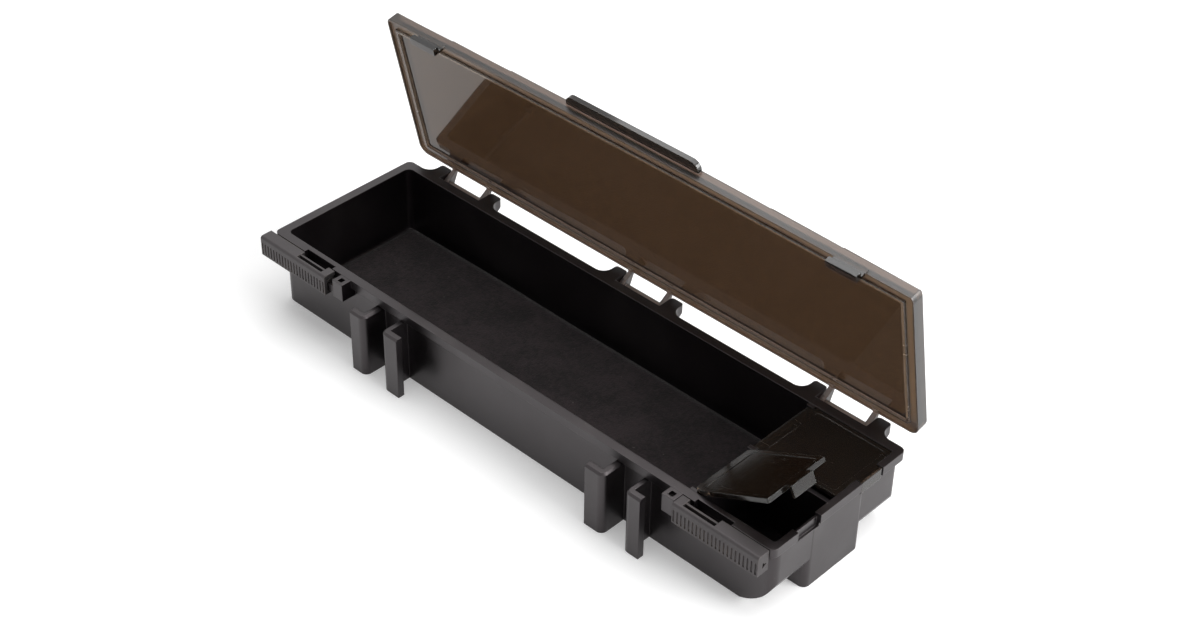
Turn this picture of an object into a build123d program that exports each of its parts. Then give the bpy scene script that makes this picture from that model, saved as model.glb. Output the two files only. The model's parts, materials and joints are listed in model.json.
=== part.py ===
from build123d import *
import math
import os

# Needle box: a long shallow moulded tray with a clear hinged lid, two sliding catches,
# two small lidded compartments at one end and a foam mat in the long bay.
# Lengths in mm. Origin under the middle of the tray, +X along the box, -Y to the front, +Z up.

# ---- tray ----
rim_half_x = 125.0
rim_half_y = 35.0
rim_top = 31.1
rim_drop = 3.6
rim_corner = 2.4
left_overhang = 2.0
right_overhang = 0.8
front_overhang = 1.9
rear_overhang = 2.1
body_corner_left = 4.2
body_corner_right = 3.4
body_round_left = 3.0
body_sweep_x = 13.2
body_sweep_z = 13.0
body_sweep_r = 22.0
wall = 1.8
end_wall = 1.9
floor = 1.8
cavity_corner_left = 2.4
cavity_corner_right = 1.0
cavity_round_left = 1.4
cavity_sweep_x = 11.6
cavity_sweep_z = 11.2
cavity_sweep_r = 20.2
overlap = 0.5
run_gap = 0.3

body_left = -rim_half_x + left_overhang
body_right = rim_half_x - right_overhang
body_front = -rim_half_y + front_overhang
body_rear = rim_half_y - rear_overhang
cavity_x = (body_left + wall, body_right - end_wall)
cavity_y = (body_front + wall, body_rear - wall)

# ---- end block ----
end_block_y = (-15.4, 14.1)
end_block_out = 0.1
end_block_deep = 14.0
end_block_corner = 2.6

# ---- dividers ----
compartment_len = 37.4
divider_t = 1.8
divider_drop = 2.9
partition_y = -2.0
partition_t = 1.8
divider_x = cavity_x[1] - compartment_len
divider_top = rim_top - divider_drop

# ---- hooks on the front wall ----
hook_from_left = 66.05
hook_from_right = 62.05
hook_gap = 9.6
hook_arm_t = 2.5
hook_outer_w = 7.3
hook_inner_w = 8.5
hook_plate_t = 2.8
hook_reach = 11.0
hook_drop = 0.5
hook_corner = 2.6
hook_edge = 0.8
hook_centres = (-rim_half_x + hook_from_left, rim_half_x - hook_from_right)
hook_top = rim_top - rim_drop - hook_drop

# ---- catch rails, with x measured from the box end ----
rail_start = 3.5
rail_drop = 4.9
rail_t = 1.9
rail_lip_rise = 1.1
rail_reach = 3.9
rail_lip_t = 1.0
rail_top = rim_top - rail_drop
rail_low = rail_top - rail_t
rail_lip_top = rail_top + rail_lip_rise
rail_front = -rim_half_y - rail_reach

# ---- catches ----
catch_len = 37.2
catch_cover_len = 20.0
catch_skin = 1.4
catch_cover_t = 1.8
catch_lip_t = 1.5
catch_grip = 1.7
catch_ridge_t = 0.8
catch_floor_t = 1.1
catch_edge = 1.1
catch_out_gap = -1.5
catch_in_gap = 1.7
catch_set = 0.1
catch_cap_t = 1.5
catch_bridge_len = 3.3
cap_hole_w = 1.9
cap_hole_h = 2.8
cap_hole_in = 0.9
cap_hole_low = 2.1
groove_count = 22
groove_w = 0.7
groove_deep = 0.35
groove_rise = 0.7
groove_len = 5.0
catch_top = rim_top - catch_set
catch_back = -rim_half_y - run_gap
catch_front = rail_front - run_gap - catch_skin
catch_low = rail_low - run_gap - catch_lip_t
catch_lip_back = rail_front + catch_grip
catch_ridge_front = rail_front + rail_lip_t + run_gap
catch_ridge_back = catch_ridge_front + catch_ridge_t
catch_ridge_low = rail_top + run_gap
catch_floor_low = rail_lip_top + run_gap
groove_low = catch_low + groove_rise
groove_top = groove_low + groove_len

# ---- stop posts ----
stop_len = 5.3
stop_h = 7.5
stop_reach = 4.5
stop_pocket = 2.2
stop_pocket_deep = 1.6
stop_start = catch_in_gap + catch_len + run_gap
stop_end = stop_start + stop_len
stop_low = catch_top - stop_h
stop_front = -rim_half_y - stop_reach

# ---- lid lugs and their slots in the rim ----
lug_start = 19.0
lug_len = 13.0
lug_t = 1.1
lug_gap = 0.2
lug_play = 0.4
slot_before = 1.0
slot_after = 2.0
slot_deep = 1.7
lug_end = lug_start + lug_len
slot_start = lug_start - slot_before
slot_end = lug_end + slot_after
slot_back = -rim_half_y + slot_deep
lug_back = slot_back - lug_gap
lug_front = lug_back - lug_t
lug_foot_front = catch_ridge_back + run_gap
lug_foot_low = rail_top + run_gap
lug_foot_top = catch_top - catch_cover_t - lug_play

# ---- main hinge ----
hinge_back = 3.96
hinge_drop = 3.07
hinge_end = 28.7
hinge_count = 3
ear_out = 17.0
ear_in = 11.25
ear_back = 3.2
ear_corner = 1.2
ear_root = 4.4
ear_drop = 5.5
arm_in = 8.7
arm_out = 10.8
arm_r = 2.0
arm_rise = 3.0
arm_clear = 0.6
pin_r = 1.5
pin_gap = 0.05
pin_end = 14.7
bore_end = 15.1
bar_r = 0.95
bar_back = 0.2
bar_drop = 0.4
main_open = 77.5
hinge_y = rim_half_y + hinge_back
hinge_z = rim_top - hinge_drop
hinge_pitch = rim_half_x - hinge_end
ear_low = rim_top - ear_drop

# ---- main lid, drawn shut ----
lid_seat = 0.2
lid_h = 5.4
lid_front_over = 0.2
lid_rear_inset = 0.4
lid_bow = 1.6
lid_skin = 1.8
lid_corner = 4.2
lid_edge = 0.9
lip_t = 0.6
lip_h = 0.9
plate_t = 2.0
recess_edge = 0.4
rib_inset = 3.8
rib_front_inset = 3.7
rib_rear_inset = 3.4
rib_corner = 1.8
rib_t = 1.4
rib_edge = 0.3
rib_gap = 0.1
finger_half = 31.5
finger_reach = 4.3
finger_t = 2.0
finger_drop = 0.5
finger_corner = 3.2
lid_half_x = rim_half_x
lid_front = -rim_half_y - lid_front_over
lid_rear = rim_half_y - lid_rear_inset
lid_low = rim_top + lid_seat
lid_top = lid_low + lid_h
rib_front = lid_front + rib_front_inset
rib_rear = lid_rear - rib_rear_inset
rib_low = rim_top + rib_gap
plate_low = lid_low + lip_h
finger_top = lid_top - finger_drop
finger_low = finger_top - finger_t

# ---- small lids, drawn shut ----
small_back = 2.1
small_drop = 1.5
small_rod_r = 1.2
small_pin_r = 0.8
small_t = 1.8
small_set = 0.2
small_clear = 2.2
small_ear_t = 1.4
small_ear_half = 1.5
small_ear_root = 4.2
small_ear_set = 0.1
small_pin_long = 1.2
small_pin_short = 0.95
small_bore_long = 1.4
small_bore_short = 0.75
small_corner = 0.8
small_border = 1.7
small_dish = 0.15
small_open = 27.3
tab_half = 5.3
tab_set = 0.3
tab_leg_t = 1.2
tab_leg_h = 4.5
tab_rear_shift = 0.95
tab_gap = 0.2
notch_side = 0.5
notch_below = 0.4
strip_t = 0.9
small_x = divider_x + small_back
small_z = rim_top - small_drop
small_top = rim_top - small_set
small_low = small_top - small_t
small_end = cavity_x[1] - run_gap
small_front_y = (cavity_y[0] + run_gap, partition_y - run_gap)
small_rear_y = (partition_y + partition_t + run_gap, cavity_y[1] - run_gap)
small_ear_low = divider_top - small_ear_root
small_ear_top = rim_top - small_ear_set
tab_out = rim_half_x - tab_set
tab_low = small_top - tab_leg_h
tab_front_y = sum(small_front_y) / 2
tab_rear_y = sum(small_rear_y) / 2 + tab_rear_shift
notch_half = tab_half + notch_side
notch_low = tab_low - notch_below
strip_top = small_z
tab_under = strip_top + tab_gap

# ---- foam mat ----
foam_left_gap = 2.6
foam_right_gap = 0.7
foam_front_gap = 0.5
foam_rear_gap = 2.1
foam_t = 2.0
foam_corner = 2.5
foam_gap = 0.02
foam_x = (cavity_x[0] + foam_left_gap, divider_x - foam_right_gap)
foam_y = (cavity_y[0] + foam_front_gap, cavity_y[1] - foam_rear_gap)


def block(x0, x1, y0, y1, z0, z1):
    low = (Align.MIN, Align.MIN, Align.MIN)
    return Box(x1 - x0, y1 - y0, z1 - z0, align=low).moved(Location((x0, y0, z0)))


def slab(x0, x1, y0, y1, z0, z1, corner):
    plan = RectangleRounded(x1 - x0, y1 - y0, corner)
    place = Location(((x0 + x1) / 2, (y0 + y1) / 2, z0))
    return extrude(plan, z1 - z0).moved(place)


def uneven_slab(x0, x1, y0, y1, z0, z1, corner_left, corner_right):
    plan = Rectangle(x1 - x0, y1 - y0)
    plan = fillet(plan.vertices().sort_by(Axis.X)[:2], corner_left)
    far = plan.vertices().sort_by(Axis.X)[-2:]
    plan = fillet(far, corner_right)
    place = Location(((x0 + x1) / 2, (y0 + y1) / 2, z0))
    return extrude(plan, z1 - z0).moved(place)


def bowed(x0, x1, y0, y1, z0, z1, corner):
    flat = slab(x0, x1, y0, y1, z0, z1, corner)
    bow_r = (lid_half_x * lid_half_x + lid_bow * lid_bow) / (2 * lid_bow)
    disc = extrude(Circle(bow_r), z1 - z0).moved(Location((0, y0 + bow_r, z0)))
    return flat & disc


def rod(x0, x1, y, z, radius):
    flat = Circle(radius)
    return extrude(Plane.YZ * flat, x1 - x0).moved(Location((x0, y, z)))


def cross_rod(x, z, y0, y1, radius):
    flat = Circle(radius)
    return extrude(Plane.XZ * flat, y1 - y0).moved(Location((x, y1, z)))


def side_plate(points, x0, x1):
    flat = make_face(Polyline(*points, close=True))
    return extrude(Plane.YZ * flat, x1 - x0).moved(Location((x0, 0, 0)))


def trough(x_span, y_span, z0, z1, round_left, sweep):
    x0, x1 = x_span
    reach_x, reach_z, radius = sweep
    chord = math.hypot(reach_x, reach_z)
    bulge = radius - math.sqrt(radius * radius - chord * chord / 4)
    mid_x = x1 - reach_x / 2 + bulge * reach_z / chord
    mid_z = z0 + reach_z / 2 - bulge * reach_x / chord
    low = (x1 - reach_x, z0)
    high = (x1, z0 + reach_z)
    outline = Polyline(high, (x1, z1), (x0, z1), (x0, z0), low) + ThreePointArc(
        low, (mid_x, mid_z), high,
    )
    flat = make_face(outline)
    corner = flat.vertices().sort_by(Axis.Y)[:2].sort_by(Axis.X)[0]
    flat = fillet(corner, round_left)
    place = Location((0, y_span[1], 0))
    return extrude(Plane.XZ * flat, y_span[1] - y_span[0]).moved(place)


def mirrored(solid):
    return mirror(solid, about=Plane.YZ)


def tray_shell():
    plan = uneven_slab(
        body_left, body_right, body_front, body_rear, 0, rim_top,
        body_corner_left, body_corner_right,
    )
    side = trough(
        (body_left, body_right), (body_front, body_rear), 0, rim_top,
        body_round_left, (body_sweep_x, body_sweep_z, body_sweep_r),
    )
    outer = plan & side
    flange = slab(
        -rim_half_x, rim_half_x, -rim_half_y, rim_half_y,
        rim_top - rim_drop, rim_top, rim_corner,
    )
    block_right = body_right + end_block_out
    foot = block(
        block_right - end_block_deep, block_right,
        *end_block_y, 0, rim_top - overlap,
    )
    foot = fillet(foot.edges().filter_by(Axis.Z).sort_by(Axis.X)[-2:], end_block_corner)
    outer = outer + flange + foot
    above = rim_top + overlap
    hollow_plan = uneven_slab(
        *cavity_x, *cavity_y, floor, above, cavity_corner_left, cavity_corner_right,
    )
    hollow_side = trough(
        cavity_x, cavity_y, floor, above,
        cavity_round_left, (cavity_sweep_x, cavity_sweep_z, cavity_sweep_r),
    )
    hollow = hollow_plan & hollow_side
    pocket = block(
        cavity_x[1] - cavity_sweep_x - overlap, cavity_x[1],
        end_block_y[0] + wall, end_block_y[1] - wall, floor, end_block_deep,
    )
    return outer - hollow - pocket


def dividers():
    across = block(
        divider_x, divider_x + divider_t,
        cavity_y[0] - overlap, cavity_y[1] + overlap, floor - overlap, divider_top,
    )
    body = trough(
        (divider_x, body_right - end_wall / 2), (partition_y, partition_y + partition_t),
        floor - overlap, divider_top, cavity_round_left,
        (cavity_sweep_x, cavity_sweep_z, cavity_sweep_r),
    )
    pocket = block(
        cavity_x[1] - cavity_sweep_x - overlap, cavity_x[1] + overlap,
        partition_y, partition_y + partition_t, floor - overlap, end_block_deep,
    )
    return across + body + pocket


def small_ears():
    x0 = small_x - small_ear_half
    x1 = small_x + small_ear_half
    middle = (partition_y, partition_y + partition_t)
    front = (cavity_y[0] - overlap, cavity_y[0] + small_ear_t)
    rear = (cavity_y[1] - small_ear_t, cavity_y[1] + overlap)
    ears = [block(x0, x1, *span, small_ear_low, small_ear_top) for span in (front, middle, rear)]
    return ears[0] + ears[1] + ears[2]


def small_bores():
    radius = small_pin_r + pin_gap
    front = cavity_y[0] + small_ear_t
    rear = cavity_y[1] - small_ear_t
    far = partition_y + partition_t
    spans = (
        (front - small_bore_long, front),
        (partition_y, partition_y + small_bore_short),
        (far - small_bore_short, far),
        (rear, rear + small_bore_long),
    )
    bores = [cross_rod(small_x, small_z, a, b, radius) for a, b in spans]
    return bores[0] + bores[1] + bores[2] + bores[3]


def tab_notch(y):
    strip = cavity_x[1] + strip_t
    above = rim_top + overlap
    beyond = rim_half_x + overlap
    deep = block(strip, beyond, y - notch_half, y + notch_half, notch_low, above)
    inner = cavity_x[1] - overlap
    shallow = block(inner, beyond, y - notch_half, y + notch_half, strip_top, above)
    return deep + shallow


def hook(x_face, way, width):
    wall_in = body_front + overlap
    tip = body_front - hook_reach
    x_arm = sorted((x_face, x_face + way * hook_arm_t))
    x_plate = sorted((x_face, x_face + way * width))
    arm = block(*x_arm, tip, wall_in, 0, hook_top)
    plate = block(*x_plate, tip, tip + hook_plate_t, 0, hook_top)
    solid = arm + plate
    corner = solid.edges().filter_by(Axis.Z)
    corner = [e for e in corner if abs(e.center().X - x_face) < hook_edge]
    corner = [e for e in corner if e.center().Y < tip + hook_edge]
    solid = fillet(corner, hook_corner)
    top = solid.faces().sort_by(Axis.Z)[-1]
    rounded = [e for e in top.edges() if e.center().Y < tip + hook_plate_t / 2]
    return chamfer(rounded, hook_edge)


def hook_pair(x):
    half = hook_gap / 2
    inner_left = x > 0
    left_w = hook_inner_w if inner_left else hook_outer_w
    right_w = hook_outer_w if inner_left else hook_inner_w
    return hook(x - half, -1, left_w) + hook(x + half, 1, right_w)


def left_rail():
    x0 = rail_start - rim_half_x
    x1 = stop_start - rim_half_x + overlap
    wall_in = body_front + overlap
    shelf = block(x0, x1, rail_front, wall_in, rail_low, rail_top)
    lip = block(x0, x1, rail_front, rail_front + rail_lip_t, rail_low, rail_lip_top)
    p0 = stop_start - rim_half_x
    p1 = stop_end - rim_half_x
    post = block(p0, p1, stop_front, wall_in, stop_low, catch_top)
    mid_x = (p0 + p1) / 2
    mid_y = (stop_front - rim_half_y) / 2
    half = stop_pocket / 2
    pocket = block(
        mid_x - half, mid_x + half, mid_y - half, mid_y + half,
        catch_top - stop_pocket_deep, catch_top + overlap,
    )
    return shelf + lip + post - pocket


def left_slot():
    x0 = slot_start - rim_half_x
    x1 = slot_end - rim_half_x
    beyond = -rim_half_y - overlap
    low = rim_top - rim_drop - overlap
    return block(x0, x1, beyond, slot_back, low, rim_top + overlap)


def hinge_centres():
    middle = (hinge_count - 1) / 2
    return [(i - middle) * hinge_pitch for i in range(hinge_count)]


def ear(x, way):
    inner = x + way * ear_in
    outer = x + way * ear_out
    span = sorted((inner, outer))
    wide = sorted((inner, outer + way * ear_root))
    tip = hinge_y + ear_back
    side = side_plate(
        [
            (body_rear - overlap, rim_top),
            (tip, rim_top),
            (tip, hinge_z),
            (hinge_y, ear_low),
            (body_rear - overlap, ear_low),
        ],
        *wide,
    )
    bar = block(*span, body_rear - overlap, tip, 0, rim_top)
    bar = fillet(bar.edges().filter_by(Axis.Z).sort_by(Axis.Y)[-2:], ear_corner)
    root = block(
        *sorted((outer - way * overlap, outer + way * ear_root)),
        body_rear - overlap, rim_half_y + ear_root, 0, rim_top,
    )
    scoop = Cylinder(ear_root, rim_top * 2)
    scoop = scoop.moved(Location((outer + way * ear_root, rim_half_y + ear_root, rim_top)))
    solid = side & (bar + (root - scoop))
    bore = rod(*sorted((inner, x + way * bore_end)), hinge_y, hinge_z, pin_r + pin_gap)
    return solid - bore


def base_tray():
    solid = tray_shell() + dividers() + small_ears() - small_bores()
    for y in (tab_front_y, tab_rear_y):
        solid = solid - tab_notch(y)
    for x in hook_centres:
        solid = solid + hook_pair(x)
    solid = solid - left_slot() - mirrored(left_slot())
    solid = solid + left_rail() + mirrored(left_rail())
    for x in hinge_centres():
        solid = solid + ear(x, -1) + ear(x, 1)
    return solid


def arm(x, way):
    span = sorted((x + way * arm_in, x + way * arm_out))
    lean = arm_r * math.sqrt(0.5)
    points = [
        (rim_half_y + arm_clear, lid_low + run_gap),
        (lid_rear - lid_skin / 2, lid_low + run_gap),
        (lid_rear - lid_skin / 2, lid_low + arm_rise),
        (hinge_y + lean, hinge_z + lean),
        (hinge_y - lean, hinge_z - lean),
    ]
    plate = side_plate(points, *span)
    knuckle = rod(*span, hinge_y, hinge_z, arm_r)
    pin = rod(*sorted((x + way * arm_in, x + way * pin_end)), hinge_y, hinge_z, pin_r)
    return plate + knuckle + pin


def left_lug():
    x0 = lug_start - lid_half_x
    x1 = lug_end - lid_half_x
    stem = block(x0, x1, lug_front, lug_back, lug_foot_low, plate_low + overlap)
    foot = block(x0, x1, lug_foot_front, lug_back, lug_foot_low, lug_foot_top)
    return stem + foot


def main_lid():
    shell = bowed(
        -lid_half_x, lid_half_x, lid_front, lid_rear, lid_low, lid_top, lid_corner,
    )
    shell = fillet(shell.faces().sort_by(Axis.Z)[-1].edges(), lid_edge)
    under_x = lid_half_x - lip_t
    under = bowed(
        -under_x, under_x, lid_front + lip_t, lid_rear - lip_t,
        lid_low - overlap, plate_low, lid_corner - lip_t,
    )
    in_x = lid_half_x - lid_skin
    in_front = lid_front + lid_skin
    recess = bowed(
        -in_x, in_x, in_front, lid_rear - lid_skin,
        plate_low + plate_t, lid_top + overlap, lid_corner - lid_skin,
    )
    shell = shell - under - recess
    inner_edge = shell.faces().sort_by(Axis.Z)[-1].inner_wires()[0].edges()
    shell = fillet(inner_edge, recess_edge)
    out_x = lid_half_x - rib_inset
    rib_out = bowed(
        -out_x, out_x, rib_front, rib_rear, rib_low, plate_low + overlap, rib_corner,
    )
    gap_x = out_x - rib_t
    rib_in = bowed(
        -gap_x, gap_x, rib_front + rib_t, rib_rear - rib_t,
        rib_low - overlap, plate_low + overlap, rib_corner - rib_t + rib_edge,
    )
    rib = rib_out - rib_in
    rib = fillet(rib.faces().sort_by(Axis.Z)[0].edges(), rib_edge)
    shell = shell + rib
    finger = slab(
        -finger_half, finger_half, lid_front - finger_reach, lid_front + lid_corner,
        finger_low, finger_top, finger_corner,
    )
    finger = finger & block(
        -finger_half, finger_half, lid_front - finger_reach, in_front - overlap,
        finger_low, finger_top,
    )
    shell = shell + finger
    for x in hinge_centres():
        shell = shell + arm(x, -1) + arm(x, 1)
        shell = shell + rod(
            x - arm_in - overlap, x + arm_in + overlap,
            hinge_y + bar_back, hinge_z - bar_drop, bar_r,
        )
    shell = shell + left_lug() + mirrored(left_lug())
    return shell.rotate(Axis((0, hinge_y, hinge_z), (-1, 0, 0)), main_open)


def small_lid(y_span, tab_y, pins):
    y0, y1 = y_span
    plate = block(small_x + small_clear, small_end, y0, y1, small_low, small_top)
    outer_y = max((y0, y1), key=abs)
    corner = plate.edges().filter_by(Axis.Z).sort_by(Axis.X)[-2:]
    corner = [e for e in corner if abs(e.center().Y - outer_y) < run_gap]
    plate = fillet(corner, small_corner)
    neck_y0 = max(y0, cavity_y[0] + small_ear_t + run_gap)
    neck_y1 = min(y1, cavity_y[1] - small_ear_t - run_gap)
    neck = block(small_x, small_x + small_clear + overlap, neck_y0, neck_y1, small_low, small_top)
    barrel = cross_rod(small_x, small_z, neck_y0, neck_y1, small_rod_r)
    dish = slab(
        small_x + small_clear + small_border, small_end - small_border,
        y0 + small_border, y1 - small_border,
        small_top - small_dish, small_top + overlap, rib_t,
    )
    tab = block(
        small_end - overlap, tab_out, tab_y - tab_half, tab_y + tab_half, tab_under, small_top,
    )
    leg = block(
        tab_out - tab_leg_t, tab_out, tab_y - tab_half, tab_y + tab_half, tab_low, small_top,
    )
    low_pin = cross_rod(small_x, small_z, neck_y0 - pins[0], neck_y0 + overlap, small_pin_r)
    high_pin = cross_rod(small_x, small_z, neck_y1 - overlap, neck_y1 + pins[1], small_pin_r)
    return plate + neck + barrel - dish + tab + leg + low_pin + high_pin


def catch_cap():
    cap = block(0, catch_cap_t, catch_front, catch_back, catch_low, catch_top)
    hole_y = catch_back - cap_hole_in
    hole_z = catch_low + cap_hole_low
    hole = side_plate(
        [
            (hole_y, hole_z + cap_hole_h / 2),
            (hole_y - cap_hole_w, hole_z + cap_hole_h),
            (hole_y - cap_hole_w, hole_z),
        ],
        -overlap, catch_cap_t + overlap,
    )
    return cap - hole


def left_catch():
    x1 = catch_len
    mid = catch_cover_len
    face = block(0, x1, catch_front, catch_front + catch_skin, catch_low, catch_top)
    cover = block(0, mid, catch_front, catch_back, catch_top - catch_cover_t, catch_top)
    lip = block(0, x1, catch_front, catch_lip_back, catch_low, catch_low + catch_lip_t)
    ridge = block(0, x1, catch_ridge_front, catch_ridge_back, catch_ridge_low, catch_top - run_gap)
    tray = block(
        mid - overlap, x1, catch_front + overlap, catch_ridge_back,
        catch_floor_low, catch_floor_low + catch_floor_t,
    )
    bridge = block(
        x1 - catch_bridge_len, x1, catch_front, catch_back, catch_top - catch_cover_t, catch_top,
    )
    solid = face + cover + lip + ridge + tray + bridge + catch_cap()
    edge = solid.edges().filter_by(Axis.X).sort_by(Axis.Z)[-4:]
    edge = edge.sort_by(Axis.Y)[0]
    solid = fillet(edge, catch_edge)
    pitch = catch_len / groove_count
    for i in range(groove_count):
        x = (i + 1) * pitch - pitch / 2 - groove_w / 2
        cut = block(
            x, x + groove_w, catch_front - overlap, catch_front + groove_deep,
            groove_low, groove_top,
        )
        solid = solid - cut
    return solid


def foam_mat():
    low = floor + foam_gap
    return slab(*foam_x, *foam_y, low, low + foam_t, foam_corner)


def main():
    os.makedirs("parts", exist_ok=True)
    out_x = catch_out_gap - rim_half_x
    in_x = catch_in_gap - rim_half_x
    small_axis = Axis((small_x, 0, small_z), (0, -1, 0))
    front_small = small_lid(small_front_y, tab_front_y, (small_pin_long, small_pin_short))
    rear_small = small_lid(small_rear_y, tab_rear_y, (small_pin_short, small_pin_long))
    nodes = {
        "base_tray": base_tray(),
        "main_lid": main_lid(),
        "left_latch": left_catch().moved(Location((out_x, 0, 0))),
        "right_latch": mirrored(left_catch().moved(Location((in_x, 0, 0)))),
        "front_small_lid": front_small.rotate(small_axis, small_open),
        "rear_small_lid": rear_small,
        "foam_mat": foam_mat(),
    }
    for name, solid in nodes.items():
        export_step(solid, f"parts/{name}.step")


main()
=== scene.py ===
"""A fishing needle box: a long black moulded tray with a smoked lid, two small lids, two sliding
catches and a foam liner.

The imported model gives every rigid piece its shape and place. This file gives those pieces their
finish, models the foam liner, and sets up the floor, the light and the camera."""

import json
import math
from functools import partial

import bmesh
import bpy
from bpy.props import FloatProperty, FloatVectorProperty, IntProperty, PointerProperty
from bpy.types import Operator, Panel, PropertyGroup
from mathutils import Matrix, Vector


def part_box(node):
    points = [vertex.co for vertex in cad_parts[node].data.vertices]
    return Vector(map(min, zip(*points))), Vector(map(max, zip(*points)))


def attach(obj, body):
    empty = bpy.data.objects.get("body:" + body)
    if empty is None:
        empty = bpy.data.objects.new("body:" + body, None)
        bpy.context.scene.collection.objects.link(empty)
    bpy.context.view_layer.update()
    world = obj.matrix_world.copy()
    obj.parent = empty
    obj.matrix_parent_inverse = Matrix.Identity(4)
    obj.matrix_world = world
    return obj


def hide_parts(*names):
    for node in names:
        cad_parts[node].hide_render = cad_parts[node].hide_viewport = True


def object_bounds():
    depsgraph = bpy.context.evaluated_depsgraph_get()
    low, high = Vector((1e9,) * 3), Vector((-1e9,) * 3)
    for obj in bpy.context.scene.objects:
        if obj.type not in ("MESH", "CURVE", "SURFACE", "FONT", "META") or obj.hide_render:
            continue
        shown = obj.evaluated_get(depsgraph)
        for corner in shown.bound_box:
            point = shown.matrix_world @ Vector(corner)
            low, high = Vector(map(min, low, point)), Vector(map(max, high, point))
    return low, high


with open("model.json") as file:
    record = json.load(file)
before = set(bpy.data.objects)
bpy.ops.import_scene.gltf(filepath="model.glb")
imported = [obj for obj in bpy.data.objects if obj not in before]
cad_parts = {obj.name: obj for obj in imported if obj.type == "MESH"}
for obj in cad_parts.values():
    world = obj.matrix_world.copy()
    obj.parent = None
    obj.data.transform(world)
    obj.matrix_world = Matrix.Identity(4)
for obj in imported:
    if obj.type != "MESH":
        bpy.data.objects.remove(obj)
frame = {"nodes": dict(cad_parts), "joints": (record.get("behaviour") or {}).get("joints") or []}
model_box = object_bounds()

bl_info = {
    "name": "Needle Box",
    "version": (1, 0, 0),
    "blender": (4, 5, 0),
    "location": "View3D > Sidebar > Needle Box",
    "description": "Finishes a fishing needle box and models its foam liner",
    "category": "Object",
}

MM = 0.001
PHOTO_WIDTH = 1200


# ---- sizes and colours that a user may change ----

class TrayFinish(PropertyGroup):
    colour: FloatVectorProperty(
        name="Plastic", description="Colour of the moulded tray",
        subtype="COLOR", size=3, min=0, max=1, default=(0.0017, 0.0012, 0.0015))
    worn: FloatVectorProperty(
        name="Worn edge", description="Colour of rubbed edges",
        subtype="COLOR", size=3, min=0, max=1, default=(0.085, 0.080, 0.076))
    roughness: FloatProperty(
        name="Roughness", description="Roughness of the satin moulding",
        subtype="FACTOR", min=0, max=1, default=0.30)
    edge: FloatProperty(
        name="Edge radius", description="Radius that the light sees along each moulded edge",
        subtype="DISTANCE", unit="LENGTH", min=0, max=0.002, default=0.00035)


class CatchFinish(PropertyGroup):
    colour: FloatVectorProperty(
        name="Plastic", description="Colour of the sliding catches",
        subtype="COLOR", size=3, min=0, max=1, default=(0.016, 0.0150, 0.0150))
    worn: FloatVectorProperty(
        name="Worn edge", description="Colour of rubbed edges",
        subtype="COLOR", size=3, min=0, max=1, default=(0.16, 0.13, 0.10))
    roughness: FloatProperty(
        name="Roughness", description="Roughness of the matt moulding",
        subtype="FACTOR", min=0, max=1, default=0.48)


class LidFinish(PropertyGroup):
    smoke: FloatVectorProperty(
        name="Smoke", description="Tint of the lid's panel",
        subtype="COLOR", size=3, min=0, max=1, default=(0.042, 0.0235, 0.0125))
    border: FloatVectorProperty(
        name="Border", description="Tint of the lid's thinner border",
        subtype="COLOR", size=3, min=0, max=1, default=(0.150, 0.095, 0.055))
    # Partly painted light: this lighter tint is the walls' thinner plastic and also paints in the glow and
    # reflections in the outer wall and hinge arms.
    rim_and_glow: FloatVectorProperty(
        name="Rim", description="Tint of the lid's outer wall and its hinge arms",
        subtype="COLOR", size=3, min=0, max=1, default=(0.105, 0.066, 0.048))
    grip: FloatVectorProperty(
        name="Grip", description="Tint of the finger lip and the lid's end faces",
        subtype="COLOR", size=3, min=0, max=1, default=(0.010, 0.0065, 0.0045))
    # Partly painted highlight: the rib's pale tint is its thin plastic and also a painted light line along it.
    rib: FloatVectorProperty(
        name="Rib", description="Tint of the rib inside the lid",
        subtype="COLOR", size=3, min=0, max=1, default=(0.40, 0.33, 0.27))
    # On the lower lip, half of this dark tint is painted shade for the dark line along it.
    lug: FloatVectorProperty(
        name="Lug", description="Tint of the two lugs and the lid's lower lip",
        subtype="COLOR", size=3, min=0, max=1, default=(0.010, 0.008, 0.008))
    small_smoke: FloatVectorProperty(
        name="Small lid smoke", description="Tint of the two small lids",
        subtype="COLOR", size=3, min=0, max=1, default=(0.050, 0.034, 0.024))
    ior: FloatProperty(
        name="IOR", description="Index of refraction of the clear plastic",
        min=1, max=2, default=1.63)
    small_ior: FloatProperty(
        name="Small lid IOR", description="Index of refraction of the small lids' plastic",
        min=1, max=2, default=1.46)


class LinerSizes(PropertyGroup):
    colour: FloatVectorProperty(
        name="Foam", description="Colour of the foam liner",
        subtype="COLOR", size=3, min=0, max=1, default=(0.0145, 0.0108, 0.0116))
    corner: FloatProperty(
        name="Corner", description="Radius of the liner's cut corners",
        subtype="DISTANCE", unit="LENGTH", min=0, max=0.01, default=2.5 * MM)
    ripple: FloatProperty(
        name="Ripple", description="Height of the slow waves in the liner",
        subtype="DISTANCE", unit="LENGTH", min=0, max=0.005, default=0.45 * MM)
    curl: FloatProperty(
        name="Curl", description="How far the rear edge lifts off the tray's floor",
        subtype="DISTANCE", unit="LENGTH", min=0, max=0.01, default=0.6 * MM)
    steps: IntProperty(
        name="Steps", description="Divisions along the liner", min=8, max=200, default=84)


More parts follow.
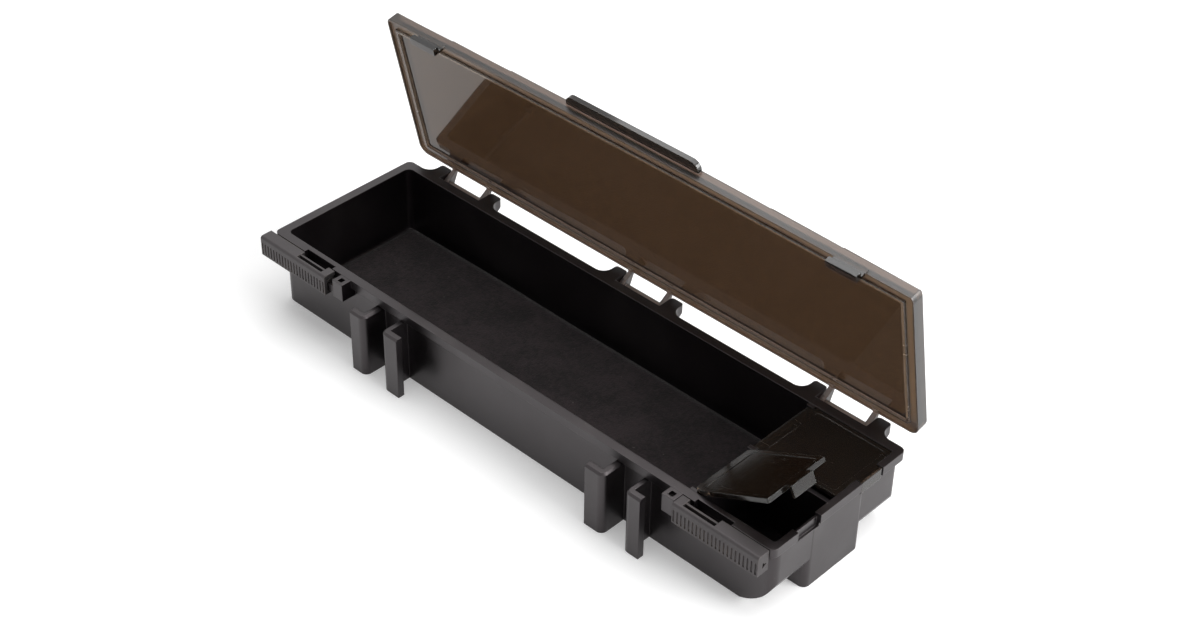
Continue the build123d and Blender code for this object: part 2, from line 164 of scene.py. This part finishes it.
class StageSettings(PropertyGroup):
    floor: FloatVectorProperty(
        name="Floor", description="Colour of the floor",
        subtype="COLOR", size=3, min=0, max=1, default=(0.86, 0.86, 0.86))
    floor_size: FloatProperty(
        name="Floor size", description="Side of the floor",
        subtype="DISTANCE", unit="LENGTH", min=1, max=20, default=8.0)
    eye: FloatVectorProperty(
        name="Eye", description="Place of the camera",
        subtype="TRANSLATION", unit="LENGTH", size=3, default=(0.41762, -0.43267, 0.50321))
    azimuth: FloatProperty(
        name="Azimuth", description="Direction of the camera round the box",
        subtype="ANGLE", unit="ROTATION", default=math.radians(43.004))
    elevation: FloatProperty(
        name="Elevation", description="Height of the camera above the horizon",
        subtype="ANGLE", unit="ROTATION", default=math.radians(37.611))
    roll: FloatProperty(
        name="Roll", description="Tilt of the camera about its own axis",
        subtype="ANGLE", unit="ROTATION", default=math.radians(1.229))
    focal_px: FloatProperty(
        name="Focal length", description="Focal length in pixels of the photograph's width",
        min=100, default=2115.87)


class NeedleBoxSettings(PropertyGroup):
    tray: PointerProperty(type=TrayFinish, name="Tray", description="Finish of the moulded tray")
    catch: PointerProperty(type=CatchFinish, name="Catches", description="Finish of the catches")
    lid: PointerProperty(type=LidFinish, name="Lids", description="Finish of the three lids")
    liner: PointerProperty(type=LinerSizes, name="Liner", description="Shape of the foam liner")
    stage: PointerProperty(type=StageSettings, name="Stage", description="Floor and camera")


def settings():
    return bpy.context.scene.needle_box


# ---- node helpers ----

def put(tree, kind, sockets=(), **props):
    """A new node: props are its own settings, sockets its inputs by name, as a value or a link."""
    made = tree.nodes.new(kind)
    for name, value in props.items():
        setattr(made, name, value)
    for name, value in dict(sockets).items():
        feed(tree, made.inputs[name], value)
    return made


def feed(tree, socket, value):
    """Links a socket to the output that value is, or else gives it that value."""
    if isinstance(value, bpy.types.NodeSocket):
        tree.links.new(value, socket)
        return
    has_alpha = hasattr(socket.default_value, "__len__") and len(socket.default_value) == 4
    socket.default_value = (*value, 1) if has_alpha and len(value) == 3 else value


def sums(tree, operation, first, second=0.0, clamp=False):
    made = put(tree, "ShaderNodeMath", {0: first, 1: second}, operation=operation, use_clamp=clamp)
    return made.outputs[0]


def plus(tree, first, second):
    return sums(tree, "ADD", first, second)


def minus(tree, first, second):
    return sums(tree, "SUBTRACT", first, second)


def times(tree, first, second, clamp=False):
    return sums(tree, "MULTIPLY", first, second, clamp)


def larger(tree, first, second):
    return sums(tree, "MAXIMUM", first, second)


def smaller(tree, first, second):
    return sums(tree, "MINIMUM", first, second)


def between(tree, value, low, high, to_low=0.0, to_high=1.0):
    """value, stretched so that low to high becomes to_low to to_high."""
    names = {"Value": value, "From Min": low, "From Max": high, "To Min": to_low, "To Max": to_high}
    made = put(tree, "ShaderNodeMapRange", names, clamp=True, interpolation_type="SMOOTHSTEP")
    return made.outputs["Result"]


def blended(tree, share, first, second):
    """first where share is 0 and second where it is 1, as colours."""
    mix = put(tree, "ShaderNodeMix", data_type="RGBA")
    for socket, value in ((mix.inputs["Factor"], share), (mix.inputs[6], first), (mix.inputs[7], second)):
        feed(tree, socket, value)
    return mix.outputs[2]


def shaded(colour, share):
    """A colour made darker or lighter."""
    return tuple(part * share for part in colour)


def where(tree):
    return put(tree, "ShaderNodeTexCoord").outputs["Object"]


def noise(tree, place, scale, detail, roughness):
    names = {"Vector": place, "Scale": scale, "Detail": detail, "Roughness": roughness}
    return put(tree, "ShaderNodeTexNoise", names, noise_dimensions="3D").outputs["Fac"]


def bumped(tree, height, depth, strength, normal=None):
    names = {"Height": height, "Distance": depth, "Strength": strength}
    if normal is not None:
        names["Normal"] = normal
    return put(tree, "ShaderNodeBump", names).outputs["Normal"]


def new_group(name, inputs, outputs):
    """A node group: inputs as {name: number}, outputs as {name: kind of socket}."""
    tree = bpy.data.node_groups.new(name, "ShaderNodeTree")
    for socket, number in inputs.items():
        made = tree.interface.new_socket(name=socket, in_out="INPUT", socket_type="NodeSocketFloat")
        made.default_value = number
    for socket, kind in outputs.items():
        tree.interface.new_socket(name=socket, in_out="OUTPUT", socket_type="NodeSocket" + kind)
    return tree, put(tree, "NodeGroupInput").outputs, put(tree, "NodeGroupOutput").inputs


def place_group(tree, name, **values):
    """Places a shared effect, which is built when the first finish asks for it."""
    effect = bpy.data.node_groups.get(name) or GROUPS[name](name)
    return put(tree, "ShaderNodeGroup", values, node_tree=effect).outputs


# ---- effects that several finishes share ----

EDGE_SAMPLES = 6
FLOW_SCALE = 0.03
FILM_SCALE = 0.05
FILM_SHARE = 0.25
UNDERSIDE_SHARE = 0.25
SCRATCH_TURNS = ((0.3, 0.2, 0.5), (-0.4, 0.5, -0.9))
SCRATCH_STRETCH = (0.6, 9.0, 9.0)
SCRATCH_WIDTH = 0.012


def edge_wear_and_glint(name):
    """Rounds the edges for the light, and marks the edges that hands and tackle have rubbed. On the smoked
    lids the same mark carries a painted highlight along the edges.
    """
    tree, given, out = new_group(
        name, {"Radius": 0.0003, "Patches": 60.0, "Amount": 0.5}, {"Mask": "Float", "Normal": "Vector"})
    rounded = put(tree, "ShaderNodeBevel", {"Radius": given["Radius"]}, samples=EDGE_SAMPLES).outputs["Normal"]
    flat = put(tree, "ShaderNodeNewGeometry").outputs["Normal"]
    along = put(tree, "ShaderNodeVectorMath", {0: rounded, 1: flat}, operation="DOT_PRODUCT").outputs["Value"]
    turned = between(tree, along, low=0.995, high=0.80)
    patches = noise(tree, where(tree), given["Patches"], detail=5.0, roughness=0.65)
    worn = times(tree, turned, between(tree, patches, low=0.40, high=0.68))
    feed(tree, out["Mask"], times(tree, worn, given["Amount"], clamp=True))
    feed(tree, out["Normal"], rounded)
    return tree


def grain(name):
    """Fine texture that the mould leaves, as a height."""
    tree, given, out = new_group(name, {"Scale": 1800.0, "Flow": 0.3}, {"Height": "Float"})
    place = where(tree)
    fine = noise(tree, place, given["Scale"], detail=3.0, roughness=0.6)
    slow = noise(tree, place, times(tree, given["Scale"], FLOW_SCALE), detail=2.0, roughness=0.5)
    feed(tree, out["Height"], plus(tree, fine, times(tree, slow, given["Flow"])))
    return tree


def handling(name):
    """Slow patches where handling has dulled or polished the surface, from 0 to 1."""
    tree, given, out = new_group(name, {"Scale": 30.0}, {"Mask": "Float"})
    patches = noise(tree, where(tree), given["Scale"], detail=4.0, roughness=0.55)
    feed(tree, out["Mask"], between(tree, patches, low=0.35, high=0.70))
    return tree


def dust(name):
    """Pale specks and a faint film, thicker on what faces up."""
    tree, given, out = new_group(name, {"Scale": 900.0, "Amount": 0.5}, {"Mask": "Float"})
    place = where(tree)
    facing = put(tree, "ShaderNodeNewGeometry").outputs["Normal"]
    up = put(tree, "ShaderNodeSeparateXYZ", {0: facing}).outputs["Z"]
    settled = between(tree, up, low=-0.2, high=1.0, to_low=UNDERSIDE_SHARE)
    grit = noise(tree, place, given["Scale"], detail=1.0, roughness=0.5)
    specks = between(tree, grit, low=0.74, high=0.80)
    cloud = noise(tree, place, times(tree, given["Scale"], FILM_SCALE), detail=4.0, roughness=0.6)
    film = between(tree, cloud, low=0.45, high=0.80, to_high=FILM_SHARE)
    lying = times(tree, larger(tree, specks, film), settled)
    feed(tree, out["Mask"], times(tree, lying, given["Amount"], clamp=True))
    return tree


def scratches(name):
    """Hairline scratches in two directions."""
    tree, given, out = new_group(name, {"Scale": 14.0, "Amount": 0.5}, {"Mask": "Float"})
    found = []
    for turn in SCRATCH_TURNS:
        names = {"Vector": where(tree), "Rotation": turn, "Scale": SCRATCH_STRETCH}
        turned = put(tree, "ShaderNodeMapping", names).outputs[0]
        cells = put(tree, "ShaderNodeTexVoronoi", {"Vector": turned, "Scale": given["Scale"]},
                    feature="DISTANCE_TO_EDGE").outputs["Distance"]
        found.append(between(tree, cells, low=SCRATCH_WIDTH, high=0.0))
    gaps = noise(tree, where(tree), scale=80.0, detail=3.0, roughness=0.6)
    lines = times(tree, larger(tree, *found), between(tree, gaps, low=0.50, high=0.65))
    feed(tree, out["Mask"], times(tree, lines, given["Amount"], clamp=True))
    return tree


GROUPS = {
    "Edge wear and glint": edge_wear_and_glint, "Mould grain": grain, "Handling": handling, "Dust": dust, "Scratches": scratches}


# ---- finishes ----

DUST_COLOUR = (0.32, 0.30, 0.27)


def new_material(name):
    material = bpy.data.materials.new(name)
    material.use_nodes = True
    tree = material.node_tree
    tree.nodes.clear()
    return material, tree, put(tree, "ShaderNodeOutputMaterial").inputs["Surface"]


PLASTIC_IOR = 1.59
REFLECTION_TINT = (1.0, 0.90, 0.93)
GRAIN_STRENGTH = 0.35
PLASTIC_DUST_SHOWS = 0.35
PLASTIC_DUST_ROUGHENS = 0.25
HANDLING_ROUGHENS = 0.10


def moulded(name, colour, worn, roughness, edge, grain_depth, wear=0.5, dusty=0.4):
    """Opaque moulded plastic: satin, with grain, rubbed edges, handling marks and a little dust."""
    material, tree, surface = new_material(name)
    edges = place_group(tree, "Edge wear and glint", Radius=edge, Patches=70.0, Amount=wear)
    dusting = place_group(tree, "Dust", Scale=900.0, Amount=dusty)["Mask"]
    handled = place_group(tree, "Handling", Scale=28.0)["Mask"]
    height = place_group(tree, "Mould grain", Scale=1800.0, Flow=0.3)["Height"]
    tint = blended(tree, edges["Mask"], colour, worn)
    tint = blended(tree, times(tree, dusting, PLASTIC_DUST_SHOWS), tint, DUST_COLOUR)
    rough = between(tree, handled, 0, 1, roughness, roughness + HANDLING_ROUGHENS)
    rough = plus(tree, rough, times(tree, dusting, PLASTIC_DUST_ROUGHENS))
    shader = put(tree, "ShaderNodeBsdfPrincipled", {
        "Base Color": tint, "Roughness": rough, "IOR": PLASTIC_IOR, "Specular Tint": REFLECTION_TINT,
        "Normal": bumped(tree, height, grain_depth, GRAIN_STRENGTH, edges["Normal"])})
    feed(tree, surface, shader.outputs[0])
    return material


# Painted highlight: the pale tint that the smoked lids take along their edges, so light lines show there.
EDGE_GLINT = (0.62, 0.57, 0.53)
EDGE_ROUNDING = 0.25 * MM
FINGERMARKS_ROUGHEN = 0.03
SCRATCHES_ROUGHEN = 0.35
FROST_ROUGHENS = 0.34
CLEAR_DUST_SHOWS = 0.25
SWELL_DEPTH = 0.02 * MM
SWELL_STRENGTH = 0.4


def smoked(name, tint_from, ior, polish=0.035, clearness=1.0):
    """Clear smoked plastic that lets the lamps through, with pale edges that are a painted highlight,
    fine scratches and fingermarks. tint_from builds the tint, the frosted places and the sideways lean
    of a warped panel in the material's tree."""
    material, tree, surface = new_material(name)
    tint, frosted, lean = tint_from(tree)
    handled = place_group(tree, "Handling", Scale=22.0)["Mask"]
    marks = place_group(tree, "Scratches", Scale=14.0, Amount=0.6)["Mask"]
    dusting = place_group(tree, "Dust", Scale=800.0, Amount=0.3)["Mask"]
    edges = place_group(tree, "Edge wear and glint", Radius=EDGE_ROUNDING, Patches=120.0, Amount=0.8)
    rough = between(tree, handled, 0, 1, polish, polish + FINGERMARKS_ROUGHEN)
    rough = plus(tree, rough, times(tree, larger(tree, marks, dusting), SCRATCHES_ROUGHEN))
    rough = plus(tree, rough, times(tree, frosted, FROST_ROUGHENS))
    # Painted highlight: the edges take the pale glint tint.
    colour = blended(tree, edges["Mask"], tint, EDGE_GLINT)
    colour = blended(tree, times(tree, dusting, CLEAR_DUST_SHOWS), colour, DUST_COLOUR)
    swell = noise(tree, where(tree), scale=45.0, detail=1.0, roughness=0.4)
    normal = bumped(tree, swell, SWELL_DEPTH, SWELL_STRENGTH, edges["Normal"])
    if lean is not None:
        sideways = put(tree, "ShaderNodeCombineXYZ", {"X": lean}).outputs[0]
        leaning = put(tree, "ShaderNodeVectorMath", {0: normal, 1: sideways}, operation="ADD").outputs[0]
        normal = put(tree, "ShaderNodeVectorMath", {0: leaning}, operation="NORMALIZE").outputs[0]
    shader = put(tree, "ShaderNodeBsdfPrincipled", {
        "Base Color": colour, "Roughness": rough, "IOR": ior, "Transmission Weight": clearness,
        "Normal": normal})
    through = put(tree, "ShaderNodeBsdfTransparent", {"Color": colour})
    lamp_ray = put(tree, "ShaderNodeLightPath").outputs["Is Shadow Ray"]
    mixed = put(tree, "ShaderNodeMixShader", {0: lamp_ray, 1: shader.outputs[0], 2: through.outputs[0]})
    feed(tree, surface, mixed.outputs[0])
    return material


def shut_place(tree):
    """Where a point of the open main lid lies when the lid is shut, as X, Y and Z."""
    hinge = next(joint for joint in frame["joints"] if joint["name"] == "main_lid_hinge")
    pivot = Vector(hinge["pos_m"])
    turn = -math.radians(hinge["range_deg"][0])
    shift = pivot - Matrix.Rotation(turn, 3, "X") @ pivot
    shut = put(tree, "ShaderNodeMapping", {"Vector": where(tree), "Location": shift, "Rotation": (turn, 0, 0)})
    return put(tree, "ShaderNodeSeparateXYZ", {0: shut.outputs[0]}).outputs


# The main lid's own lines, as it lies shut.
LID_HALF_LENGTH = 125.0 * MM
LID_FRONT = -35.2 * MM
LID_REAR = 34.6 * MM
LID_BOW = 1.6 * MM
LID_LIP = 31.3 * MM
LID_PLATE = 32.2 * MM
LID_PLATE_TOP = 34.2 * MM
LIP_WIDE = 0.8 * MM
RIB_INSET = 3.8 * MM
RIB_WIDE = 1.4 * MM
FINGER_LIP = LID_FRONT - 0.3 * MM

# The warp leans the panel's left end sideways, by this much of the normal's length.
LID_WARP = 0.034
LID_WARP_FROM, LID_WARP_TO = -85.0 * MM, -15.0 * MM

# A soft step between two tints is BLUR wide on each side. PAST_STEP is clear of one.
BLUR = 0.12 * MM
PAST_STEP = 3.0 * BLUR

# How far the lower lip takes the lugs' tint, as painted shade, and the part by the hinge takes the panel's.
LIP_SHADE_SHARE = 0.5
HINGE_SHARE = 0.8

# How frosted the border is, and the rib and lugs, from 0 to 1.
BORDER_FROST = 0.85
RIB_FROST = 0.3


def above(tree, value, limit):
    """1 where value is over limit, with a soft step."""
    return between(tree, value, limit - BLUR, limit + BLUR)


def below(tree, value, limit, most=1.0):
    """most where value is under limit, with a soft step."""
    return between(tree, value, limit - BLUR, limit + BLUR, most, 0.0)


def lid_tint(look, tree):
    """The main lid's tint by place: a dark panel inside a clearer border and rib, with dark lugs,
    finger lip and end faces. The outer wall and hinge arms are lighter, partly for their thinner plastic
    and partly as painted glow. The rib's pale tint is partly a painted highlight, and the lower lip is
    half darkened as painted shade. With it, where the lid is frosted, and how far its panel leans."""
    x, y, z = shut_place(tree)
    along = sums(tree, "ABSOLUTE", x)
    bow = times(tree, sums(tree, "POWER", sums(tree, "DIVIDE", along, LID_HALF_LENGTH), 2.0), LID_BOW)
    from_end = minus(tree, LID_HALF_LENGTH, along)
    from_front = minus(tree, minus(tree, y, LID_FRONT), bow)
    from_rear = minus(tree, LID_REAR, y)
    inset = smaller(tree, smaller(tree, from_end, from_front), from_rear)
    reach = minus(tree, FINGER_LIP, y)

    in_border = below(tree, inset, RIB_INSET)
    under_plate = below(tree, z, LID_PLATE - BLUR)
    wall = times(tree, above(tree, z, LID_PLATE_TOP + BLUR), in_border)
    side = times(tree, above(tree, z, LID_PLATE + BLUR), below(tree, inset, BLUR))
    arms = times(tree, above(tree, y, LID_REAR), below(tree, z, LID_PLATE_TOP))
    grip = larger(tree, above(tree, reach, 0.0), below(tree, from_end, BLUR))
    lip = times(tree, under_plate, below(tree, inset, LIP_WIDE))
    lug = times(tree, below(tree, z, LID_LIP - PAST_STEP), below(tree, y, 0.0))
    rib = times(tree, under_plate, above(tree, inset, RIB_INSET - PAST_STEP))
    near_hinge = below(tree, from_rear, RIB_INSET + RIB_WIDE)
    by_hinge = times(tree, near_hinge, below(tree, z, LID_PLATE_TOP + BLUR))
    away_from_arms = times(tree, by_hinge, below(tree, y, LID_REAR))

    tint = blended(tree, in_border, look.smoke, look.border)
    layers = (
        # Partly painted light: the outer wall and its ends take the lighter rim tint, which paints in their
        # glow.
        (larger(tree, wall, side), look.rim_and_glow),
        # Partly painted light: the hinge arms take the lighter rim tint too.
        (arms, look.rim_and_glow),
        (grip, look.grip),
        # Painted shade: the lower lip takes half the lugs' dark tint.
        (larger(tree, times(tree, lip, LIP_SHADE_SHARE), lug), look.lug),
        # Partly painted highlight: the rib takes its pale tint.
        (rib, look.rib),
        (times(tree, away_from_arms, HINGE_SHARE), look.smoke),
    )
    for share, colour in layers:
        tint = blended(tree, share, tint, colour)

    off_grip = below(tree, reach, 0.0, BORDER_FROST)
    frosted_border = times(tree, times(tree, in_border, off_grip), minus(tree, 1.0, lug))
    frosted = larger(tree, times(tree, larger(tree, rib, lug), RIB_FROST), frosted_border)

    warped = between(tree, x, LID_WARP_FROM, LID_WARP_TO, LID_WARP, 0.0)
    facing = between(tree, z, LID_PLATE, LID_PLATE_TOP, 1.0, -1.0)
    on_panel = above(tree, inset, RIB_INSET + RIB_WIDE)
    return tint, frosted, times(tree, times(tree, warped, facing), on_panel)


SMALL_LID_DARKER = 0.8


def small_lid_tint(look, tree):
    """The small lids' tint, a little uneven as the moulding flowed. They aren't frosted or warped."""
    flow = noise(tree, where(tree), scale=60.0, detail=2.0, roughness=0.5)
    darker = shaded(look.small_smoke, SMALL_LID_DARKER)
    return blended(tree, between(tree, flow, low=0.35, high=0.65), darker, look.small_smoke), 0.0, None


FOAM_CELLS = 1500.0
FOAM_DEPTH = 0.18 * MM
FOAM_BUMP = 0.8
FOAM_DARKER, FOAM_LIGHTER = 0.45, 1.65
CLUMPS_SHARE, SLOW_SHARE = 0.6, 0.4
LINT_SHOWS = 0.12


def foam_finish(colour):
    """Closed-cell foam sheet: matt, with fine cells, mottled clumps and a little lint."""
    material, tree, surface = new_material("foam sheet")
    place = where(tree)
    cells = put(tree, "ShaderNodeTexVoronoi", {"Vector": place, "Scale": FOAM_CELLS}, feature="F1")
    clumps = noise(tree, place, scale=620.0, detail=5.0, roughness=0.70)
    slow = noise(tree, place, scale=55.0, detail=3.0, roughness=0.6)
    fluff = noise(tree, place, scale=700.0, detail=1.0, roughness=0.5)
    mottle = plus(tree, times(tree, clumps, CLUMPS_SHARE), times(tree, slow, SLOW_SHARE))
    tint = blended(tree, between(tree, mottle, low=0.38, high=0.62),
                   shaded(colour, FOAM_DARKER), shaded(colour, FOAM_LIGHTER))
    lint = between(tree, fluff, low=0.76, high=0.82)
    tint = blended(tree, times(tree, lint, LINT_SHOWS), tint, DUST_COLOUR)
    height = plus(tree, cells.outputs["Distance"], clumps)
    shader = put(tree, "ShaderNodeBsdfPrincipled", {
        "Base Color": tint, "Roughness": between(tree, clumps, 0.3, 0.7, 0.86, 0.98),
        "Specular IOR Level": 0.25, "Sheen Weight": 0.06, "Sheen Roughness": 0.5,
        "Normal": bumped(tree, height, FOAM_DEPTH, FOAM_BUMP)})
    feed(tree, surface, shader.outputs[0])
    return material


def dress(node, material):
    """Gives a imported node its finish."""
    piece = frame["nodes"][node]
    for held in piece.material_slots:
        held.material = material


def finished(bm, name, material, body):
    """Turns a bmesh into a piece of the object that rides on body."""
    mesh = bpy.data.meshes.new(name)
    bm.to_mesh(mesh)
    bm.free()
    mesh.materials.append(material)
    piece = bpy.data.objects.new(name, mesh)
    bpy.context.scene.collection.objects.link(piece)
    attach(piece, body)
    return piece


# ---- the pieces ----

class NEEDLEBOX_OT_tray(Operator):
    """Finish the moulded tray"""
    bl_idname = "needlebox.tray"
    bl_label = "Tray"

    def execute(self, context):
        look = settings().tray
        satin = moulded("tray plastic", look.colour, look.worn, look.roughness, look.edge,
                        grain_depth=0.03 * MM)
        dress("base_tray", satin)
        return {"FINISHED"}


class NEEDLEBOX_OT_lids(Operator):
    """Finish the main lid and the two small lids"""
    bl_idname = "needlebox.lids"
    bl_label = "Lids"

    def execute(self, context):
        look = settings().lid
        dress("main_lid", smoked("smoked lid", partial(lid_tint, look), look.ior))
        small = smoked("smoked small lid", partial(small_lid_tint, look), look.small_ior,
                       polish=0.10, clearness=0.94)
        for node in ("front_small_lid", "rear_small_lid"):
            dress(node, small)
        return {"FINISHED"}


class NEEDLEBOX_OT_catches(Operator):
    """Finish the two sliding catches"""
    bl_idname = "needlebox.catches"
    bl_label = "Catches"

    def execute(self, context):
        look = settings().catch
        matt = moulded("catch plastic", look.colour, look.worn, look.roughness,
                       edge=0.30 * MM, grain_depth=0.05 * MM, wear=0.8, dusty=0.6)
        for node in ("left_latch", "right_latch"):
            dress(node, matt)
        return {"FINISHED"}


CORNER_SEGMENTS = 5

# Turns of the two waves along and across the liner, and where the second one starts.
FIRST_WAVE = (9.0, 2.1)
SECOND_WAVE = (3.0, 5.3)
SECOND_WAVE_START = 0.6

# The rear edge lifts most at this share of the length, over this share of it, from this share back.
CURL_AT, CURL_SPREAD, CURL_FROM = 0.27, 0.16, 0.55


def cut_into_steps(bm, low, size, steps):
    """Divides the liner into squares, so that it can ripple."""
    middle = low + size / 2
    step = size.x / steps
    for axis in (0, 1):
        cuts = round(size[axis] / step)
        for index in range(1, cuts):
            at = middle.copy()
            at[axis] = low[axis] + size[axis] * index / cuts
            way = Vector((0, 0, 0))
            way[axis] = 1
            everything = bm.verts[:] + bm.edges[:] + bm.faces[:]
            bmesh.ops.bisect_plane(bm, geom=everything, dist=1e-7, plane_co=at, plane_no=way)


def liner_lift(place, low, size, look):
    """How far the liner rises at a place: slow ripples, and a rear edge that lifts a little."""
    x = (place.x - low.x) / size.x
    y = (place.y - low.y) / size.y
    first = math.sin(FIRST_WAVE[0] * x + FIRST_WAVE[1] * y)
    second = math.sin(SECOND_WAVE[0] * x + SECOND_WAVE[1] * y + SECOND_WAVE_START)
    ripple = look.ripple * (first * second * 0.5 + 0.5)
    hump = math.exp(-((x - CURL_AT) / CURL_SPREAD) ** 2)
    curl = look.curl * hump * max(0.0, (y - CURL_FROM) / (1 - CURL_FROM)) ** 2
    return ripple + curl


class NEEDLEBOX_OT_liner(Operator):
    """Model the foam liner that lies on the tray's floor"""
    bl_idname = "needlebox.liner"
    bl_label = "Foam liner"

    def execute(self, context):
        look = settings().liner
        low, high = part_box("foam_mat")
        size = high - low
        sheet = Matrix.Translation((low + high) / 2) @ Matrix.Diagonal((*size, 1))
        bm = bmesh.new()
        bmesh.ops.create_cube(bm, size=1, matrix=sheet)
        upright = [e for e in bm.edges if abs(e.verts[0].co.z - e.verts[1].co.z) > size.z / 2]
        bmesh.ops.bevel(bm, geom=upright, offset=look.corner, segments=CORNER_SEGMENTS, profile=0.5,
                        affect="EDGES", material=-1)
        cut_into_steps(bm, low, size, look.steps)
        for vert in bm.verts:
            vert.co.z += liner_lift(vert.co, low, size, look)
        bmesh.ops.recalc_face_normals(bm, faces=bm.faces[:])
        for face in bm.faces:
            face.smooth = True
        liner = finished(bm, "foam_liner", foam_finish(look.colour), "foam")
        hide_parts("foam_mat")
        return {"FINISHED"}


# ---- the stage ----

SKY_LIGHT = 0.42
NEAR_FLOOR, FAR_FLOOR = 0.45, 1.6
NEAR_GLOW, FAR_GLOW = 0.22, 0.65
NEAR_CLIP = 0.01

# Each softbox: its name, its place, what it points at, its size and its power.
SOFTBOXES = (
    ("overhead softbox", (0.0, 0.32, 1.12), (0, 0, 0), (1.5, 1.2), 12),
    ("right softbox", (1.15, 0.30, 0.50), (0.1, 0, 0.03), (0.9, 0.8), 18),
)


def background_rays(tree):
    """1 for the rays that show the white background: from the camera, off gloss and through glass."""
    path = put(tree, "ShaderNodeLightPath").outputs
    seen = larger(tree, path["Is Camera Ray"], path["Is Glossy Ray"])
    return larger(tree, seen, path["Is Transmission Ray"])


def white_floor(colour):
    """A pale floor that keeps the box's shadow, and glows white for the background."""
    material, tree, surface = new_material("studio floor")
    card = put(tree, "ShaderNodeBsdfDiffuse", {"Color": colour})
    away = put(tree, "ShaderNodeVectorMath", {0: where(tree)}, operation="LENGTH").outputs["Value"]
    lifted = between(tree, away, NEAR_FLOOR, FAR_FLOOR, NEAR_GLOW, FAR_GLOW)
    glow = put(tree, "ShaderNodeEmission", {"Strength": times(tree, background_rays(tree), lifted)})
    both = put(tree, "ShaderNodeAddShader", {0: card.outputs[0], 1: glow.outputs[0]})
    feed(tree, surface, both.outputs[0])
    return material


def white_world():
    """A white background that lights the box only softly."""
    world = bpy.data.worlds.new("studio")
    world.use_nodes = True
    tree = world.node_tree
    tree.nodes.clear()
    strength = between(tree, background_rays(tree), 0, 1, SKY_LIGHT, 1.0)
    sky = put(tree, "ShaderNodeBackground", {"Color": (1, 1, 1), "Strength": strength})
    feed(tree, put(tree, "ShaderNodeOutputWorld").inputs["Surface"], sky.outputs[0])
    bpy.context.scene.world = world


def softbox(name, at, target, size, power):
    lamp = bpy.data.lights.new(name, "AREA")
    lamp.shape = "RECTANGLE"
    lamp.size, lamp.size_y = size
    lamp.energy = power
    held = bpy.data.objects.new(name, lamp)
    held.location = at
    held.rotation_euler = (Vector(target) - Vector(at)).to_track_quat("-Z", "Y").to_euler()
    bpy.context.scene.collection.objects.link(held)


class NEEDLEBOX_OT_stage(Operator):
    """Set up the floor, the light and the camera"""
    bl_idname = "needlebox.stage"
    bl_label = "Stage"

    def execute(self, context):
        look = settings().stage
        bm = bmesh.new()
        bmesh.ops.create_grid(bm, x_segments=1, y_segments=1, size=look.floor_size / 2,
                              matrix=Matrix.Translation((0, 0, model_box[0][2])))
        mesh = bpy.data.meshes.new("floor")
        bm.to_mesh(mesh)
        bm.free()
        mesh.materials.append(white_floor(look.floor))
        floor = bpy.data.objects.new("floor", mesh)
        context.scene.collection.objects.link(floor)

        white_world()
        for values in SOFTBOXES:
            softbox(*values)

        lens = bpy.data.cameras.new("camera")
        lens.sensor_fit = "HORIZONTAL"
        lens.lens = lens.sensor_width * look.focal_px / PHOTO_WIDTH
        lens.clip_start = NEAR_CLIP
        camera = bpy.data.objects.new("camera", lens)
        down = math.radians(90) - look.elevation
        turn = Matrix.Rotation(look.azimuth, 4, "Z") @ Matrix.Rotation(down, 4, "X")
        camera.matrix_world = Matrix.Translation(look.eye) @ turn @ Matrix.Rotation(look.roll, 4, "Z")
        context.scene.collection.objects.link(camera)
        context.scene.camera = camera
        context.scene.view_settings.view_transform = "Standard"
        return {"FINISHED"}


class NEEDLEBOX_PT_panel(Panel):
    """The needle box's pieces and settings"""
    bl_idname = "NEEDLEBOX_PT_panel"
    bl_label = "Needle Box"
    bl_space_type = "VIEW_3D"
    bl_region_type = "UI"
    bl_category = "Needle Box"

    def draw(self, context):
        look = settings()
        groups = (look.tray, look.lid, look.catch, look.liner, look.stage)
        for operator, group in zip(OPERATORS, groups):
            box = self.layout.box()
            box.operator(operator.bl_idname)
            for name in group.__annotations__:
                box.prop(group, name)


OPERATORS = (
    NEEDLEBOX_OT_tray, NEEDLEBOX_OT_lids, NEEDLEBOX_OT_catches, NEEDLEBOX_OT_liner, NEEDLEBOX_OT_stage)
CLASSES = (
    TrayFinish, CatchFinish, LidFinish, LinerSizes, StageSettings, NeedleBoxSettings, *OPERATORS,
    NEEDLEBOX_PT_panel)


def register():
    for made in CLASSES:
        bpy.utils.register_class(made)
    bpy.types.Scene.needle_box = PointerProperty(type=NeedleBoxSettings)


def unregister():
    del bpy.types.Scene.needle_box
    for made in reversed(CLASSES):
        bpy.utils.unregister_class(made)


def main():
    register()
    bpy.ops.needlebox.tray()
    bpy.ops.needlebox.lids()
    bpy.ops.needlebox.catches()
    bpy.ops.needlebox.liner()
    bpy.ops.needlebox.stage()


if __name__ == "__main__":
    main()
